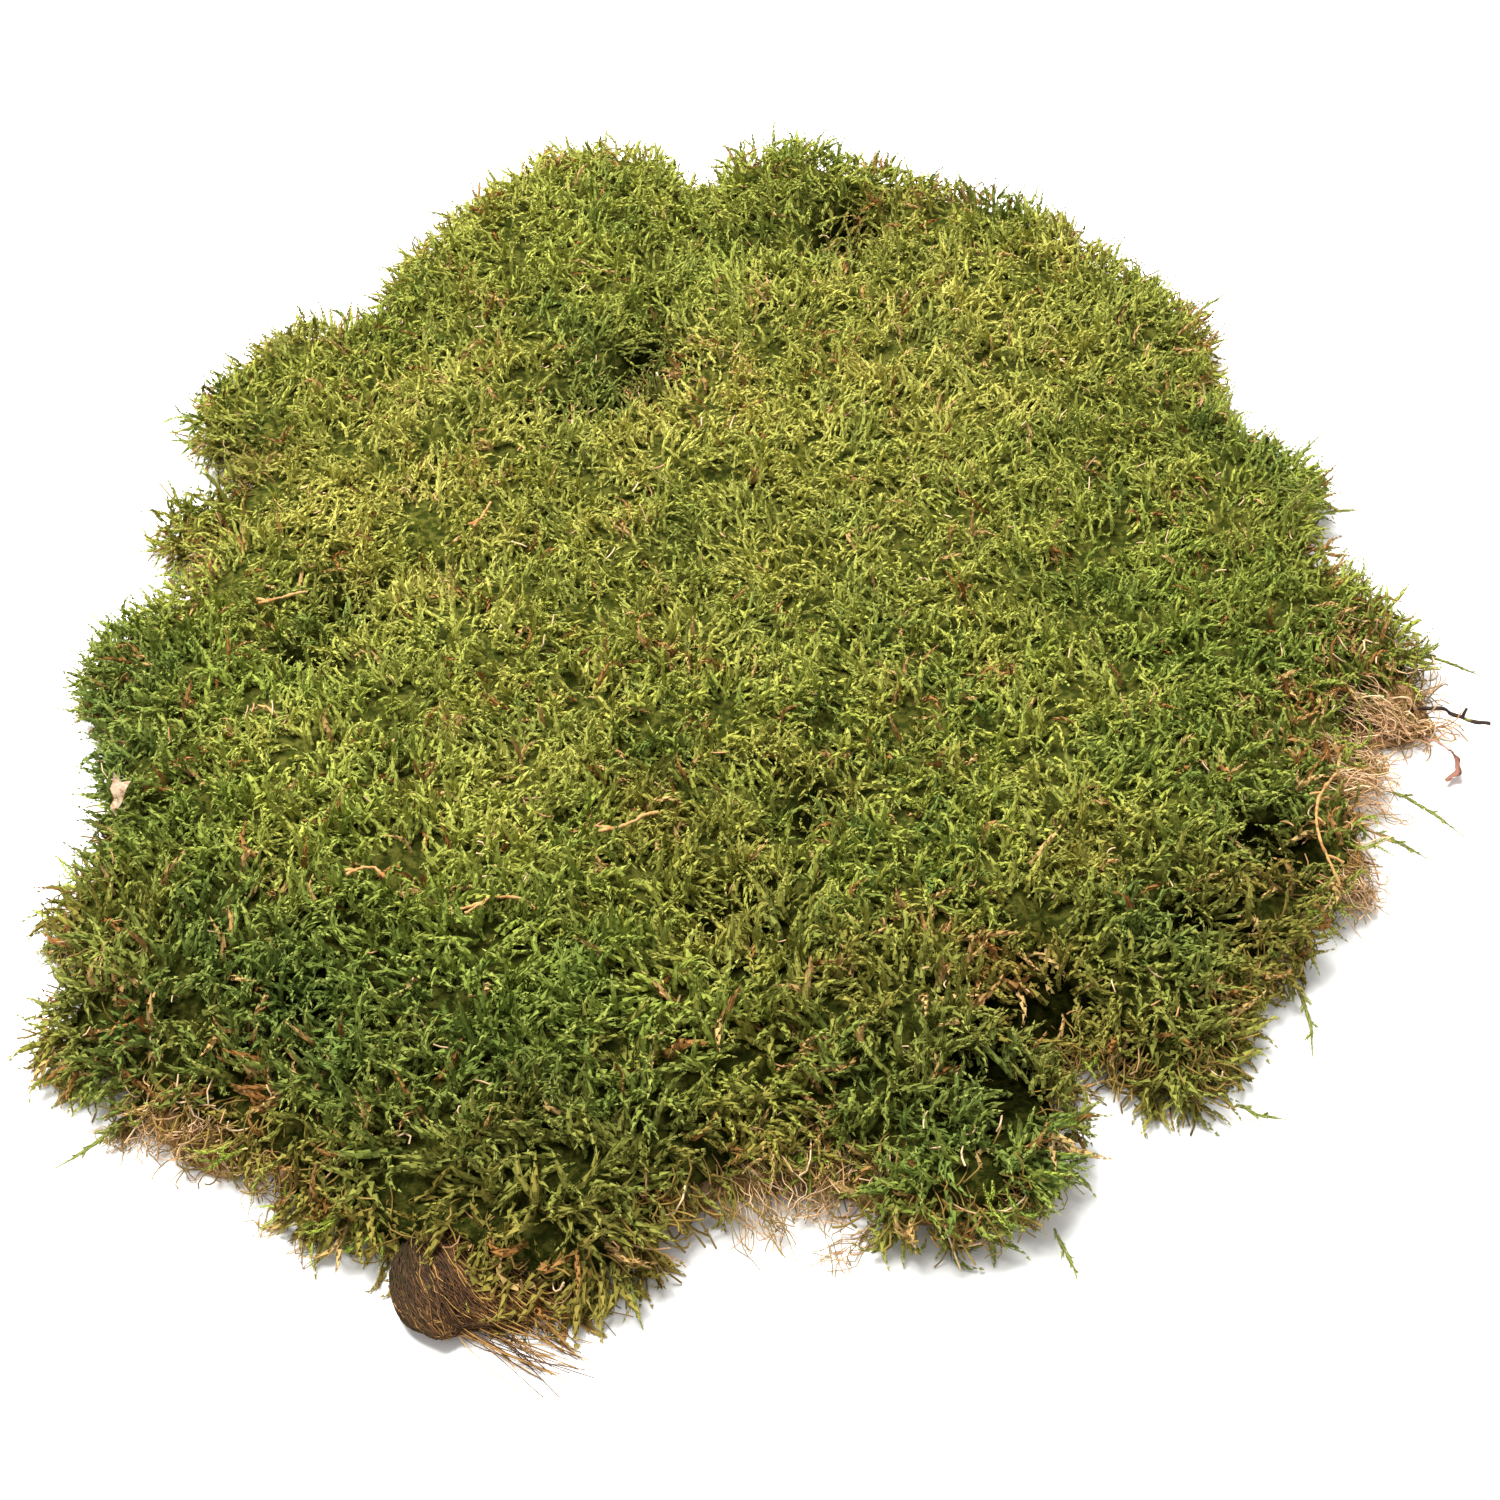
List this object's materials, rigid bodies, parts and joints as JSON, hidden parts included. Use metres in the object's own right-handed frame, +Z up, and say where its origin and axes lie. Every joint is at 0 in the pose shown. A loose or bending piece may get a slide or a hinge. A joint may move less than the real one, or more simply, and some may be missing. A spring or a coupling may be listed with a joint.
{
  "type": "moss clump",
  "caption": "Torn-off sheet of feathery creeping moss with humps, creases and a ragged edge over brown thatch, lying flat on its cut underside.",
  "frame": {"origin": "point of the flat underside below the middle of the clump", "axes": "+Z up from the surface the clump lies on, +Y from the thick rolled front edge to the two back lobes, +X to the right seen from the front"},
  "size_m": [0.3714, 0.452, 0.0296],
  "materials": {
    "living_moss": "matte feathery green shoots, yellow-green tips over dark green-brown depths",
    "edge_shoots": "matte leafy yellow-green shoots",
    "dead_thatch": "matte felt of brown and tan dead stems",
    "matted_roots": "matte dark brown matted rootlets",
    "dead_stems": "dry pale straw",
    "rootlet": "dry tan rootlet",
    "dark_twig": "dark brown twig bark",
    "dead_leaf": "dry reddish brown leaf",
    "bark": "pale torn bark"
  },
  "bodies": {
    "root": {"moss_carpet": "living_moss", "thatch": "dead_thatch", "root_clump": "matted_roots", "edge_sprig_01": "edge_shoots", "edge_sprig_02": "edge_shoots", "edge_sprig_03": "edge_shoots", "edge_sprig_04": "edge_shoots", "edge_sprig_05": "edge_shoots", "edge_sprig_06": "edge_shoots", "edge_sprig_07": "edge_shoots", "edge_sprig_08": "edge_shoots", "edge_sprig_09": "edge_shoots", "edge_sprig_10": "edge_shoots", "edge_sprig_11": "edge_shoots", "edge_sprig_12": "edge_shoots", "edge_sprig_13": "edge_shoots", "edge_sprig_14": "edge_shoots", "dead_stem_1": "dead_stems", "dead_stem_2": "dead_stems", "dead_stem_3": "dead_stems", "dead_stem_4": "dead_stems", "dead_stem_5": "dead_stems", "rootlet": "rootlet", "dark_twig": "dark_twig", "dead_leaf_curl": "dead_leaf", "bark_flake": "bark"}
  },
  "joints": []
}
